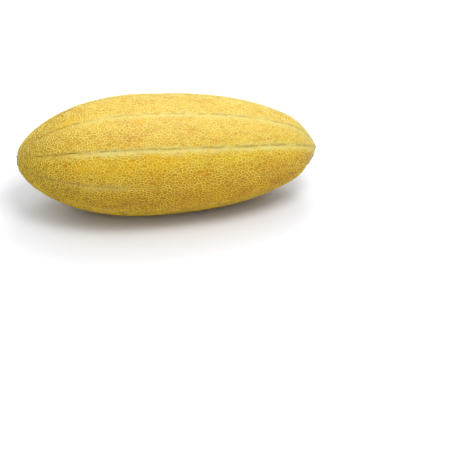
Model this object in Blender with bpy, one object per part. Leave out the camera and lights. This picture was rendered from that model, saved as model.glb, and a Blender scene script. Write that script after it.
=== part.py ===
"""A whole long muskmelon, lying on its side.

The fruit is one closed solid: an egg-like body pointed at the stem end, with ten shallow
sutures from end to end, a raised net over the ribs between them, a corky scar at each end and
the small flat spot that it rests on. The long axis is X, with the blossom end at -X and the
stem end at +X. The origin is on the ground, under the middle of the fruit.
"""

import itertools
import math

import bmesh
import bpy
import numpy as np
from mathutils import Matrix, Vector
from mathutils.geometry import delaunay_2d_cdt

# Body, in metres
LENGTH = 0.330
RADIUS = 0.0665
WIDEST_AT = 0.416            # share of the length, from the blossom end
BLOSSOM_POWERS = (2.00, 1.73)      # the outline's power along the body, and across it
STEM_POWERS = (2.43, 1.68)
PROFILE_STEPS = 4000

# Ribs and sutures
RIBS = 10
FIRST_SUTURE = math.radians(15)    # from straight up, towards -Y
RIB_BULGE = 0.0010
SUTURE_WIDTH = 0.0068
SUTURE_TIP_WIDTH = 0.0048
SUTURE_FLOOR = 0.55          # width of a suture's floor in shares of the suture
SUTURE_DEPTH = 0.0012
SUTURE_END_RADIUS = 0.015    # nearer the tips than this the sutures have run out

# Net, with its meshes larger than on the fruit
CLOSEST_MESHES = 0.0108      # between the middles of two meshes
SEED_TRIES = 30000
NET_SEED = 21
NET_HEIGHT = 0.0011
MESH_FLOOR = 0.70            # size of a mesh's floor in shares of the mesh
SHORTEST_STRAND = 0.0028
NARROWEST_MESH = 0.0040      # a narrower one has no floor

# End scars
SCAR_SIDES = 9
SCAR_RING_RADIUS = 0.0070
SCAR_RIM_WIDTH = 0.0014
SCAR_RIM_HEIGHT = 0.0007
SCAR_DISH_DEPTH = 0.0016

# Flat spot that the fruit rests on
FLAT_CUT = 0.0008
SMOOTH_SPOT = (0.042, 0.020)       # half length and half width of the netless patch

# How the net is joined and cut
WRAP_MARGIN = 1.2            # angle by which the unrolled seeds overlap
EVENING = 0.5                # how far a seed moves towards the middle of its neighbours
SUTURE_SLACK = 0.0008        # a face may pass a suture's edge by this and still be in it
SAME_PLACE = 1e-6
SHARP_EDGE = math.radians(20)

SKIN_COLOUR = (0.72, 0.48, 0.09, 1.0)
SKIN_ROUGHNESS = 0.62


def body_radius(x):
    """Radius of the plain body at the distance x from the blossom end."""
    share = x / LENGTH
    left = np.clip((WIDEST_AT - share) / WIDEST_AT, 0, 1)
    right = np.clip((share - WIDEST_AT) / (1 - WIDEST_AT), 0, 1)
    blossom_half = (1 - left ** BLOSSOM_POWERS[0]) ** (1 / BLOSSOM_POWERS[1])
    stem_half = (1 - right ** STEM_POWERS[0]) ** (1 / STEM_POWERS[1])
    return RADIUS * np.minimum(blossom_half, stem_half)


class Profile:
    """The body's outline, as tables that are read by its spread.

    The spread is the outline's length with each step divided by the radius there, and it is
    zero at the widest ring. A pattern drawn over spread and angle keeps its shape when it is
    wrapped round the body.
    """

    def __init__(self):
        turn = np.linspace(0, math.pi, PROFILE_STEPS)[1:-1]
        self.x = LENGTH * (1 - np.cos(turn)) / 2
        self.radius = body_radius(self.x)
        step = np.hypot(np.diff(self.x), np.diff(self.radius))
        middle = (self.radius[1:] + self.radius[:-1]) / 2
        self.length = np.concatenate(([0], np.cumsum(step)))
        self.spread = np.concatenate(([0], np.cumsum(step / middle)))
        self.spread -= np.interp(WIDEST_AT * LENGTH, self.x, self.spread)
        self.slope = np.gradient(self.radius, self.x)

    def at(self, table, spread):
        """One of the outline's tables, read at a spread."""
        return float(np.interp(spread, self.spread, table))

    def end_rings(self, radius):
        """Lengths along the outline at which the radius has this value, at both ends."""
        widest = int(np.argmax(self.radius))
        near = np.interp(radius, self.radius[:widest], self.length[:widest])
        far = np.interp(radius, self.radius[widest:][::-1], self.length[widest:][::-1])
        return float(near), float(far)

    def contact(self):
        """Where the fruit touches the ground, and how far its stem end tips down there."""
        area = self.radius ** 2
        balance = np.trapz(self.x * area, self.x) / np.trapz(area, self.x)
        pull = self.x - balance + self.radius * self.slope
        middle = slice(PROFILE_STEPS // 4, 3 * PROFILE_STEPS // 4)
        nearest = np.argmin(np.abs(pull[middle])) + middle.start
        return float(self.x[nearest]), math.atan(-float(self.slope[nearest]))


def net_seeds(profile):
    """Middles of the net's meshes, as rows of (spread, angle), scattered evenly over the body."""
    ends = [float(np.interp(length, profile.length, profile.spread))
            for length in profile.end_rings(SCAR_RING_RADIUS)]
    ring = np.arange(SCAR_SIDES) * math.tau / SCAR_SIDES
    seeds = np.array([(spread, angle) for spread in ends for angle in ring])
    draw = np.random.default_rng(NET_SEED)
    for _ in range(SEED_TRIES):
        length = draw.uniform(0, profile.length[-1])
        spread, radius = (np.interp(length, profile.length, table)
                          for table in (profile.spread, profile.radius))
        angle = draw.uniform(0, math.tau)
        if not ends[0] < spread < ends[1] or radius < RADIUS * draw.uniform():
            continue
        turn = np.abs(seeds[:, 1] - angle)
        away = radius * np.hypot(seeds[:, 0] - spread, np.minimum(turn, math.tau - turn))
        if away.min() > CLOSEST_MESHES:
            seeds = np.vstack((seeds, (spread, angle)))
    return seeds


def ball_point(spread, angle):
    """Point of a unit ball that stands for a spread and angle on the body."""
    ring = 1 / math.cosh(spread)
    return Vector((math.tanh(spread), -ring * math.sin(angle), ring * math.cos(angle)))


def spread_and_angle(point):
    """The spread and angle that a point in or on the ball stands for."""
    return (math.asinh(point.x / math.hypot(point.y, point.z)),
            math.atan2(-point.y, point.z))


def seed_ball(seeds):
    """The seeds on a unit ball, joined to their neighbours by triangles."""
    wrapped = [(spread, angle + turn, index)
               for index, (spread, angle) in enumerate(seeds)
               for turn in (-math.tau, 0, math.tau)
               if -WRAP_MARGIN < angle + turn < math.tau + WRAP_MARGIN]
    points = [Vector((spread, angle)) for spread, angle, _ in wrapped]
    triangles = delaunay_2d_cdt(points, [], [], 0, SAME_PLACE)[2]

    ball = bmesh.new()
    is_scar = ball.verts.layers.int.new("is_scar")
    corners = [ball.verts.new(ball_point(spread, angle)) for spread, angle in seeds]
    for triangle in triangles:
        middle = sum(points[i].y for i in triangle) / 3
        if 0 <= middle < math.tau:
            ball.faces.new([corners[wrapped[i][2]] for i in triangle])
    for end in (-1, 1):
        pole = ball.verts.new((end, 0, 0))
        pole[is_scar] = True
        rim = [edge for edge in ball.edges if edge.is_boundary and edge.verts[0].co.x * end > 0]
        for edge in rim:
            ball.faces.new((*edge.verts, pole))
    bmesh.ops.recalc_face_normals(ball, faces=ball.faces)
    free = [corner for corner in corners if not any(
        neighbour[is_scar] for edge in corner.link_edges for neighbour in edge.verts)]
    bmesh.ops.smooth_vert(ball, verts=free, factor=EVENING, use_axis_x=True, use_axis_y=True,
                          use_axis_z=True)
    return ball


def dual_of(ball):
    """The net: one face for each seed, with a corner for each triangle between seeds."""
    mesh = bpy.data.meshes.new("seed_ball")
    ball.to_mesh(mesh)
    ball.free()
    holder = bpy.data.objects.new("seed_ball", mesh)
    bpy.context.scene.collection.objects.link(holder)

    tree = bpy.data.node_groups.new("dual_net", "GeometryNodeTree")
    tree.interface.new_socket("Geometry", in_out="INPUT", socket_type="NodeSocketGeometry")
    tree.interface.new_socket("Geometry", in_out="OUTPUT", socket_type="NodeSocketGeometry")
    start = tree.nodes.new("NodeGroupInput")
    dual = tree.nodes.new("GeometryNodeDualMesh")
    end = tree.nodes.new("NodeGroupOutput")
    tree.links.new(start.outputs[0], dual.inputs["Mesh"])
    tree.links.new(dual.outputs[0], end.inputs[0])
    holder.modifiers.new("Dual net", "NODES").node_group = tree

    evaluated = holder.evaluated_get(bpy.context.evaluated_depsgraph_get())
    net_mesh = bpy.data.meshes.new_from_object(evaluated)
    net = bmesh.new()
    net.from_mesh(net_mesh)
    bpy.data.objects.remove(holder)
    bpy.data.meshes.remove(mesh)
    bpy.data.meshes.remove(net_mesh)
    bpy.data.node_groups.remove(tree)
    return net


def nearest_suture(angle):
    """Signed angle from the nearest suture."""
    rib_angle = math.tau / RIBS
    return (angle - FIRST_SUTURE + rib_angle / 2) % rib_angle - rib_angle / 2


def wrap_round_body(net, profile):
    """Move the net from the ball to the body, and arch each rib between its sutures."""
    for corner in net.verts:
        spread, angle = spread_and_angle(corner.co)
        x = profile.at(profile.x, spread)
        radius = profile.at(profile.radius, spread)
        lean = math.atan(profile.at(profile.slope, spread))
        across = abs(nearest_suture(angle)) * RIBS / math.pi
        fall = RIB_BULGE * (1 - across) ** 2 * radius / RADIUS
        x += fall * math.sin(lean)
        radius -= fall * math.cos(lean)
        corner.co = (x, -radius * math.sin(angle), radius * math.cos(angle))
    bmesh.ops.remove_doubles(net, verts=net.verts, dist=SHORTEST_STRAND)


def suture_half_width(x):
    """Half the width of a suture at the distance x from the blossom end."""
    widest = WIDEST_AT * LENGTH
    to_tip = (x - widest) / (LENGTH - widest) if x > widest else (widest - x) / widest
    return (SUTURE_WIDTH + to_tip * (SUTURE_TIP_WIDTH - SUTURE_WIDTH)) / 2


def cut_sutures(net):
    """Cut the net along both edges of each suture, and return the faces between them."""
    reached = net.faces.layers.int.new("reached_by_sutures")
    for face in net.faces:
        face[reached] = face.calc_center_median().yz.length > SUTURE_END_RADIUS
    widest = WIDEST_AT * LENGTH
    for pair, side, tip in itertools.product(range(RIBS // 2), (-1, 1), (0, LENGTH)):
        angle = FIRST_SUTURE + pair * math.tau / RIBS
        across = Vector((0, -math.cos(angle), -math.sin(angle)))
        start = Vector((widest, 0, 0)) + side * suture_half_width(widest) * across
        end = Vector((tip, 0, 0)) + side * suture_half_width(tip) * across
        faces = [face for face in net.faces if face[reached]
                 and any((corner.co.x > widest) == (tip > widest) for corner in face.verts)]
        edges = {edge for face in faces for edge in face.edges}
        corners = {corner for face in faces for corner in face.verts}
        along = Vector((0, -math.sin(angle), math.cos(angle)))
        bmesh.ops.bisect_plane(net, geom=[*faces, *edges, *corners], plane_co=start,
                               plane_no=along.cross(end - start).normalized(),
                               dist=SHORTEST_STRAND / 2, use_snap_center=True)
    in_suture = net.faces.layers.int.new("in_suture")
    for face in net.faces:
        face[in_suture] = face[reached] and is_in_suture(face)
    bmesh.ops.remove_doubles(net, verts=net.verts, dist=SHORTEST_STRAND / 2)
    return [face for face in net.faces if face[in_suture]]


def is_in_suture(face):
    """Whether every corner of the face lies on a suture or on its edges."""
    for corner in face.verts:
        off_line = nearest_suture(math.atan2(-corner.co.y, corner.co.z))
        off_middle = abs(math.sin(off_line)) * corner.co.yz.length
        if off_middle > suture_half_width(corner.co.x) + SUTURE_SLACK:
            return False
    return True


def sink_sutures(net, sutures):
    """Sink each suture as one band, with its floor narrower than its mouth."""
    bmesh.ops.inset_region(net, faces=sutures, thickness=0, depth=-SUTURE_DEPTH)
    for corner in {corner for face in sutures for corner in face.verts}:
        off_line = nearest_suture(math.atan2(-corner.co.y, corner.co.z))
        corner.co.rotate(Matrix.Rotation((SUTURE_FLOOR - 1) * off_line, 3, "X"))


def sink_meshes(net, profile, sutures):
    """Leave the net standing round each mesh's sunken floor, but for the smooth spot below."""
    is_scar = net.faces.layers.int["is_scar"]
    touch_x, _ = profile.contact()
    netted = []
    for face in set(net.faces) - set(sutures):
        middle = face.calc_center_median()
        from_spot = math.hypot((middle.x - touch_x) / SMOOTH_SPOT[0], middle.y / SMOOTH_SPOT[1])
        half_width = 2 * face.calc_area() / face.calc_perimeter()
        on_spot = middle.z < 0 and from_spot < 1
        if not (face[is_scar] or on_spot or half_width < NARROWEST_MESH / 2):
            netted.append(face)
    bmesh.ops.inset_individual(net, faces=netted, thickness=0, depth=-NET_HEIGHT)
    for face in netted:
        middle = face.calc_center_median()
        for corner in face.verts:
            corner.co = middle + MESH_FLOOR * (corner.co - middle)


def sink_scars(net):
    """Give each end its corky scar: a low rim round a shallow dish."""
    is_scar = net.faces.layers.int["is_scar"]
    scars = [face for face in net.faces if face[is_scar]]
    bmesh.ops.inset_individual(net, faces=scars, thickness=SCAR_RIM_WIDTH, depth=SCAR_RIM_HEIGHT)
    bmesh.ops.poke(net, faces=scars, offset=-SCAR_DISH_DEPTH)


def set_down(net, profile):
    """Tip the fruit to its resting tilt, cut its flat spot, and stand it on the ground."""
    _, tip = profile.contact()
    bmesh.ops.rotate(net, verts=net.verts, matrix=Matrix.Rotation(tip, 3, "Y"))
    ground = min(corner.co.z for corner in net.verts) + FLAT_CUT
    bmesh.ops.bisect_plane(net, geom=[*net.verts, *net.edges, *net.faces], dist=SAME_PLACE,
                           plane_co=(0, 0, ground), plane_no=(0, 0, -1), clear_outer=True)
    bmesh.ops.holes_fill(net, edges=[edge for edge in net.edges if edge.is_boundary])
    ends = [corner.co.x for corner in net.verts]
    sides = [corner.co.y for corner in net.verts]
    middle = Vector(((min(ends) + max(ends)) / 2, (min(sides) + max(sides)) / 2, ground))
    bmesh.ops.translate(net, verts=net.verts, vec=-middle)


def skin_material():
    material = bpy.data.materials.new("netted_skin")
    material.use_nodes = True
    shader = material.node_tree.nodes["Principled BSDF"]
    shader.inputs["Base Color"].default_value = SKIN_COLOUR
    shader.inputs["Roughness"].default_value = SKIN_ROUGHNESS
    shader.inputs["Metallic"].default_value = 0.0
    return material


def make_melon(collection):
    profile = Profile()
    net = dual_of(seed_ball(net_seeds(profile)))
    wrap_round_body(net, profile)
    sutures = cut_sutures(net)
    sink_meshes(net, profile, sutures)
    sink_sutures(net, sutures)
    sink_scars(net)
    set_down(net, profile)
    bmesh.ops.triangulate(net, faces=net.faces)
    bmesh.ops.recalc_face_normals(net, faces=net.faces)
    mesh = bpy.data.meshes.new("melon")
    net.to_mesh(mesh)
    net.free()
    mesh.shade_smooth()
    mesh.set_sharp_from_angle(angle=SHARP_EDGE)
    mesh.materials.append(skin_material())
    melon = bpy.data.objects.new("melon", mesh)
    collection.objects.link(melon)
    return melon


def main():
    for old in list(bpy.data.objects):
        bpy.data.objects.remove(old)
    collection = bpy.data.collections.new("muskmelon")
    bpy.context.scene.collection.children.link(collection)
    make_melon(collection)


main()
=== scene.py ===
# %% [markdown]
# # A whole netted muskmelon
#
# The real fruit grew as one piece: a long, egg-like body with a leathery golden skin. As it
# swelled, its skin split into thousands of tiny cracks, and each crack healed with pale cork
# that stands up as a net. Ten shallow sutures, dull green and almost free of net, run from
# end to end. This lesson loads the plain CAD fruit, and then grows a finer skin in its place.

import itertools
import math

import bmesh
import bpy
import numpy as np
from mathutils import Matrix, Vector, noise
from mathutils.geometry import delaunay_2d_cdt


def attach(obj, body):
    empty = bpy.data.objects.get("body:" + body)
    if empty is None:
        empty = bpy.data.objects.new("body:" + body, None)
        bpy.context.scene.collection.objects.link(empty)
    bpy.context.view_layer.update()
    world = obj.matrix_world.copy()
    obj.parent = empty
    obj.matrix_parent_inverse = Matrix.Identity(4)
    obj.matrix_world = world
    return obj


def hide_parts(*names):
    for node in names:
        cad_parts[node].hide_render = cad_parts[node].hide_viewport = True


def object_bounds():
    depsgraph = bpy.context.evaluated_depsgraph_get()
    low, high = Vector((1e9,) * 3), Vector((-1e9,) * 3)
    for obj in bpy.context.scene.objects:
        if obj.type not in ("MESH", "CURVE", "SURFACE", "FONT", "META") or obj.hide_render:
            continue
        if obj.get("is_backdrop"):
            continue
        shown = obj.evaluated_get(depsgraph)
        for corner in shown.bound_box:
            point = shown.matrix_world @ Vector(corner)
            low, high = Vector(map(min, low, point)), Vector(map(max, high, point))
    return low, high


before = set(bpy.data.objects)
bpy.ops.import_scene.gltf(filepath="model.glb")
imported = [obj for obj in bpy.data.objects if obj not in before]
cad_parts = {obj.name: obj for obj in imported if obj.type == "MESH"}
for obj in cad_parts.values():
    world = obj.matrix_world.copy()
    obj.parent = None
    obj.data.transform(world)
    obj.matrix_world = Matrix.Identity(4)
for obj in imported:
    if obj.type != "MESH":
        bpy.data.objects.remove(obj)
cad_low, cad_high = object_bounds()


def in_mm(lengths):
    """Lengths in metres as rounded millimetres, for the printed notes."""
    return [round(1000 * float(value), 2) for value in lengths]


print("CAD box in mm:", in_mm(cad_high - cad_low))

# %% [markdown]
# ## The fruit's measures
#
# The CAD box gives the length and the width, so the fine skin can't drift from the frame. The
# fruit lies with its stem end a little lower than its blossom end, because the stem half is
# slimmer. That tilt is read from the CAD mesh: a thin slab of corners at each end gives two
# points on the long axis.

# %% Length, radius and resting tilt
END_SLAB = 0.004
SKIN_RISE = 0.0008                # the skin's radius over half the CAD body's width

length = cad_high.x - cad_low.x
radius = (cad_high.y - cad_low.y) / 2 + SKIN_RISE
corners = np.array([corner.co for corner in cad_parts["melon"].data.vertices])
blossom_end = corners[corners[:, 0] < cad_low.x + END_SLAB].mean(axis=0)
stem_end = corners[corners[:, 0] > cad_high.x - END_SLAB].mean(axis=0)
rest_tip = math.atan2(blossom_end[2] - stem_end[2], stem_end[0] - blossom_end[0])
axis_middle = Vector((blossom_end + stem_end) / 2)
print("length and radius in mm:", in_mm((length, radius)), "tipped by",
      round(math.degrees(rest_tip), 2), "degrees about", in_mm(axis_middle))

# %% [markdown]
# ## The camera
#
# A photographer stands two steps away with a long lens, looks down at 35 degrees, and turns
# a little towards the blossom end, so the stem end is farther off. The fruit isn't in the
# middle of the picture. A shifted lens could do that, but the camera is aimed past the fruit
# instead, which keeps the lens plain for every other view.

# %% Camera
PICTURE_WIDTH = 450
FRUIT_PIXEL = (167.5, 153.0)      # where the middle of the fruit's axis falls
FOCAL_PIXELS = 1447
CAMERA_DISTANCE = 1.6
CAMERA_HEIGHT = math.radians(35)
CAMERA_SIDE = math.radians(-7.03)
SENSOR_WIDTH = 36

towards_camera = Vector((math.sin(CAMERA_SIDE) * math.cos(CAMERA_HEIGHT),
                         -math.cos(CAMERA_SIDE) * math.cos(CAMERA_HEIGHT),
                         math.sin(CAMERA_HEIGHT)))
camera = bpy.data.objects.new("camera", bpy.data.cameras.new("camera"))
bpy.context.scene.collection.objects.link(camera)
camera.data.sensor_width = SENSOR_WIDTH
camera.data.lens = FOCAL_PIXELS * SENSOR_WIDTH / PICTURE_WIDTH
camera.location = axis_middle + CAMERA_DISTANCE * towards_camera
straight = (-towards_camera).to_track_quat("-Z", "Y")
fruit_in_picture = Vector((FRUIT_PIXEL[0] - PICTURE_WIDTH / 2,
                           PICTURE_WIDTH / 2 - FRUIT_PIXEL[1], -FOCAL_PIXELS))
aside = fruit_in_picture.rotation_difference(Vector((0, 0, -1)))
camera.rotation_mode = "QUATERNION"
camera.rotation_quaternion = straight @ aside
bpy.context.scene.camera = camera
print("lens", round(camera.data.lens, 1), "mm; camera at", in_mm(camera.location))

# %% [markdown]
# ## The body's outline
#
# A melon could be sculpted, or an egg could be squeezed to its shape. Here the outline is a
# formula with a few powers, the same for the blossom half and the stem half, so every step
# below can ask how wide the fruit is anywhere. The stem end has a fuller shoulder and a more
# pointed tip than the CAD body, so it gets a swelling and a pinch of its own.

# %% Radius along the body
WIDEST_AT = 0.416                 # share of the length, from the blossom end
BLOSSOM_POWERS = (2.00, 1.73)     # along the body, and across it
STEM_POWERS = (2.43, 1.68)
TIP_REACH = 0.0042                # the tip's extra length over the CAD body
SHOULDER = (0.045, 0.026, 0.013)  # share, distance from the stem tip and width
PINCH = (0.18, 0.000, 0.012)

skin_length = length + TIP_REACH
widest_x = WIDEST_AT * length


def body_radius(x):
    """Radius of the plain body at the distance x from the blossom end."""
    left = np.clip((widest_x - x) / widest_x, 0, 1)
    right = np.clip((x - widest_x) / (skin_length - widest_x), 0, 1)
    blossom_half = (1 - left ** BLOSSOM_POWERS[0]) ** (1 / BLOSSOM_POWERS[1])
    stem_half = (1 - right ** STEM_POWERS[0]) ** (1 / STEM_POWERS[1])
    from_tip = skin_length - x
    shoulder = SHOULDER[0] * np.exp(-((from_tip - SHOULDER[1]) / SHOULDER[2]) ** 2)
    pinch = PINCH[0] * np.exp(-((from_tip - PINCH[1]) / PINCH[2]) ** 2)
    return radius * np.minimum(blossom_half, stem_half) * (1 + shoulder - pinch)


print("radius in mm at each tenth of the length:",
      in_mm(body_radius(np.linspace(0, skin_length, 11))))

# %% [markdown]
# ## A map of the body
#
# A pattern that is drawn flat and wrapped round a spindle gets squeezed at its ends. A map
# that keeps its angles avoids that. Its spread is the length along the outline with each step
# divided by the radius there, so a shape drawn over spread and angle keeps its proportions
# anywhere on the body. The tables hold spread, radius and slope at thousands of places.

# %% Outline tables
OUTLINE_STEPS = 4000

half_turn = np.linspace(0, math.pi, OUTLINE_STEPS)[1:-1]
line_x = skin_length * (1 - np.cos(half_turn)) / 2
line_radius = body_radius(line_x)
line_step = np.hypot(np.diff(line_x), np.diff(line_radius))
line_middle = (line_radius[1:] + line_radius[:-1]) / 2
line_spread = np.concatenate(([0], np.cumsum(line_step / line_middle)))
line_spread -= np.interp(widest_x, line_x, line_spread)
line_lean = np.arctan(np.gradient(line_radius, line_x))
skin_area = math.tau * float(np.sum(line_step * line_middle))
print("skin area", round(skin_area * 1e4), "cm2, spread from", round(line_spread[0], 2),
      "to", round(line_spread[-1], 2))

# %% [markdown]
# ## Where the meshes of the net sit
#
# The net has thousands of meshes, each about three millimetres wide. A regular pattern would
# show its rows, and plain random points would leave clumps and holes. So the seeds are thrown
# like darts, and one that lands too near another is thrown away. What stays is random but
# even. How near two may be changes in patches of about a centimetre, and the meshes are
# smaller towards the ends, above all at the blossom end, as on the fruit. Each end has a ring
# of seeds of its own, round the place of its scar.

# %% Room for the meshes
CLOSEST_MESHES = 0.00236          # between the middles of two meshes
END_CLOSENESS = (0.78, 0.92)      # the same at the blossom and stem ends, as a share
END_POWER = 3                     # the higher, the closer to its end each share sets in
SCAR_RING = (0.0062, 0.0052)      # radius of the last ring of meshes, at each end

share = line_x / skin_length
line_closest = CLOSEST_MESHES * (1 - (1 - END_CLOSENESS[0]) * (1 - share) ** END_POWER
                                 - (1 - END_CLOSENESS[1]) * share ** END_POWER)
line_crowd = np.concatenate(([0], np.cumsum(line_step * line_middle
                                            / line_closest[1:] ** 2)))
widest = int(np.argmax(line_radius))
end_spreads = (float(np.interp(SCAR_RING[0], line_radius[:widest], line_spread[:widest])),
               float(np.interp(SCAR_RING[1], line_radius[widest:][::-1],
                               line_spread[widest:][::-1])))
print("closest meshes in mm, blossom end, widest place and stem end:",
      in_mm(line_closest[[0, widest, -1]]))

# %% Rings of seeds round the scars
RING_SPACING = 1.1                # between two seeds of a ring, over the closest distance


def ring_of_seeds(spread, ring_radius, apart):
    """Seeds in an even ring round one end."""
    count = round(math.tau * ring_radius / apart)
    return [(spread, step * math.tau / count) for step in range(count)]


rings = [seed for end in (0, 1) for seed in ring_of_seeds(
    end_spreads[end], SCAR_RING[end], RING_SPACING * CLOSEST_MESHES * END_CLOSENESS[end])]
print(len(rings), "seeds round the scars")

# %% Throwing the seeds
GROWTH_SEED = 7
DARTS = 360000
CLOSENESS_PATCH = (0.26, 0.009)   # how much the distance changes, and the patches' size
MESH_STRETCH = 1.18               # a mesh's length along the fruit over its width

draw = np.random.default_rng(GROWTH_SEED)


def throw_seeds(seeds):
    """Add to the seeds every dart that lands far enough from those before it."""
    landed = draw.uniform(0, line_crowd[-1], DARTS)
    darts = [*seeds, *zip(np.interp(landed, line_crowd, line_spread),
                          draw.uniform(0, math.tau, DARTS))]
    spreads, angles = np.array(darts).T
    radii = np.interp(spreads, line_spread, line_radius)
    places = np.stack((np.interp(spreads, line_spread, line_x) / MESH_STRETCH,
                       radii * np.sin(angles), radii * np.cos(angles)), axis=1)
    aparts = np.interp(spreads, line_spread, line_closest)
    inside = (spreads >= end_spreads[0]) & (spreads <= end_spreads[1])
    boxes = np.floor(places / (CLOSEST_MESHES * (1 + CLOSENESS_PATCH[0]))).astype(int)
    taken, kept = {}, []
    around = list(itertools.product((-1, 0, 1), repeat=3))
    for index in np.flatnonzero(inside):
        place, (i, j, k) = tuple(places[index]), boxes[index].tolist()
        near = [other for di, dj, dk in around
                for other in taken.get((i + di, j + dj, k + dk), ())]
        patch = noise.noise(Vector(place) / CLOSENESS_PATCH[1])
        apart = aparts[index] * (1 + CLOSENESS_PATCH[0] * patch)
        if all(math.dist(place, other) > apart for other in near):
            taken.setdefault((i, j, k), []).append(place)
            kept.append(darts[index])
    return kept


seeds = throw_seeds(rings)
print(len(seeds), "seeds kept of", DARTS, "thrown")

# %% [markdown]
# ## Joining the seeds
#
# The skin is unrolled to a strip, where Blender's Delaunay helper joins each seed to its
# neighbours by triangles. The strip is overlapped at its long sides, so its two edges agree,
# and squeezed lengthwise, so the meshes come out longer than wide. Then it is rolled up on a
# ball, which is where a closed surface is easiest to handle, and closed at both poles.

# %% Triangles on the strip
OVERLAP = 1.3                     # angle by which the strip runs past a full turn
SAME_PLACE = 1e-6

wrapped = [(spread, angle + turn, index)
           for index, (spread, angle) in enumerate(seeds)
           for turn in (-math.tau, 0, math.tau)
           if -OVERLAP < angle + turn < math.tau + OVERLAP]
strip = [Vector((spread / MESH_STRETCH, angle)) for spread, angle, _ in wrapped]
triangles = delaunay_2d_cdt(strip, [], [], 0, SAME_PLACE)[2]
print(len(triangles), "triangles on the strip, with its overlap")

# %% Rolled up on a ball
EVENING = 0.45                    # how far each seed moves to the middle of its neighbours


def ball_point(spread, angle):
    """Point of a unit ball that stands for a spread and angle on the body."""
    squeezed = spread / MESH_STRETCH
    ring = 1 / math.cosh(squeezed)
    return Vector((math.tanh(squeezed), -ring * math.sin(angle), ring * math.cos(angle)))


ball = bmesh.new()
is_scar = ball.verts.layers.int.new("is_scar")
ball_seeds = [ball.verts.new(ball_point(spread, angle)) for spread, angle in seeds]
for triangle in triangles:
    middle_angle = sum(strip[i].y for i in triangle) / 3
    if 0 <= middle_angle < math.tau:
        ball.faces.new([ball_seeds[wrapped[i][2]] for i in triangle])
for end in (-1, 1):
    pole = ball.verts.new((end, 0, 0))
    pole[is_scar] = 1
    for edge in [edge for edge in ball.edges
                 if edge.is_boundary and edge.verts[0].co.x * end > 0]:
        ball.faces.new((*edge.verts, pole))
bmesh.ops.recalc_face_normals(ball, faces=ball.faces)
inner = [seed for seed in ball_seeds if not any(
    neighbour[is_scar] for edge in seed.link_edges for neighbour in edge.verts)]
bmesh.ops.smooth_vert(ball, verts=inner, factor=EVENING, use_axis_x=True, use_axis_y=True,
                      use_axis_z=True)
print(len(ball.faces), "triangles,", sum(edge.is_boundary for edge in ball.edges), "open edges")

# %% [markdown]
# ## From triangles to meshes
#
# The net is the dual of those triangles: one many-sided mesh round each seed. It could be
# worked out corner by corner, but the Dual Mesh node of Geometry Nodes does it in one step,
# and the seeds' attributes come out on the faces that they became.

# %% The dual net
def dual_of(triangle_mesh):
    """The mesh with one face for each corner of the given one."""
    source = bpy.data.meshes.new("seeds")
    triangle_mesh.to_mesh(source)
    triangle_mesh.free()
    holder = bpy.data.objects.new("seeds", source)
    bpy.context.scene.collection.objects.link(holder)
    tree = bpy.data.node_groups.new("dual_net", "GeometryNodeTree")
    tree.interface.new_socket("Geometry", in_out="INPUT", socket_type="NodeSocketGeometry")
    tree.interface.new_socket("Geometry", in_out="OUTPUT", socket_type="NodeSocketGeometry")
    dual = tree.nodes.new("GeometryNodeDualMesh")
    tree.links.new(tree.nodes.new("NodeGroupInput").outputs[0], dual.inputs["Mesh"])
    tree.links.new(dual.outputs[0], tree.nodes.new("NodeGroupOutput").inputs[0])
    holder.modifiers.new("Dual net", "NODES").node_group = tree
    evaluated = holder.evaluated_get(bpy.context.evaluated_depsgraph_get())
    result = bpy.data.meshes.new_from_object(evaluated)
    bpy.data.objects.remove(holder)
    bpy.data.meshes.remove(source)
    bpy.data.node_groups.remove(tree)
    return result


net_mesh = dual_of(ball)
print(len(net_mesh.polygons), "meshes with", len(net_mesh.vertices), "corners")

# %% [markdown]
# ## Wrapping the net round the body
#
# Each corner's place on the ball gives back its spread and angle, and the outline tables give
# the place on the body. The corners are nudged a little at random, because cracks in a skin
# are never as even as cells in a foam. The shortest strands would only be specks, so their
# two ends are merged.

# %% Corners as rows of numbers
def read_points(mesh):
    """The mesh's corners as rows of x, y and z."""
    points = np.empty(len(mesh.vertices) * 3, np.float32)
    mesh.vertices.foreach_get("co", points)
    return points.reshape(-1, 3).astype(float)


def write_points(mesh, points):
    """Put the rows of x, y and z back as the mesh's corners."""
    mesh.vertices.foreach_set("co", points.astype(np.float32).ravel())
    mesh.update()


on_ball = read_points(net_mesh)
print("the net's corners on the ball:", on_ball.shape[0], "rows of", on_ball.shape[1])

# %% Wrap
SHORTEST_STRAND = 0.0006
NUDGE = 0.00038
NUDGE_FROM = 0.012                # no nudges where the fruit's radius is less

ball_spread = MESH_STRETCH * np.arcsinh(on_ball[:, 0] / np.hypot(on_ball[:, 1], on_ball[:, 2]))
ball_angle = np.arctan2(-on_ball[:, 1], on_ball[:, 2])
body_x = np.interp(ball_spread, line_spread, line_x)
body_r = np.interp(ball_spread, line_spread, line_radius)
nudge = NUDGE * draw.normal(size=(2, len(body_x))) * (body_r > NUDGE_FROM)
body_x += nudge[0]
ball_angle += nudge[1] / body_r
body_r = np.interp(body_x, line_x, line_radius)
write_points(net_mesh, np.stack((body_x, -body_r * np.sin(ball_angle),
                                 body_r * np.cos(ball_angle)), axis=1))
net = bmesh.new()
net.from_mesh(net_mesh)
bpy.data.meshes.remove(net_mesh)
bmesh.ops.remove_doubles(net, verts=net.verts, dist=SHORTEST_STRAND)
sides = [len(face.verts) for face in net.faces]
print(len(net.faces), "meshes with", round(sum(sides) / len(sides), 2), "sides on average")

# %% [markdown]
# ## Long meshes
#
# On the fruit many meshes are short worms that lie along it, because the skin stretched more
# round the fruit than along it. So some of the strands that run across the fruit are taken
# out, which joins two meshes into one. The corners where they ended are dissolved with them,
# so the walls of a long mesh run straight. Near the blossom end the meshes stay small and
# round.

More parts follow.
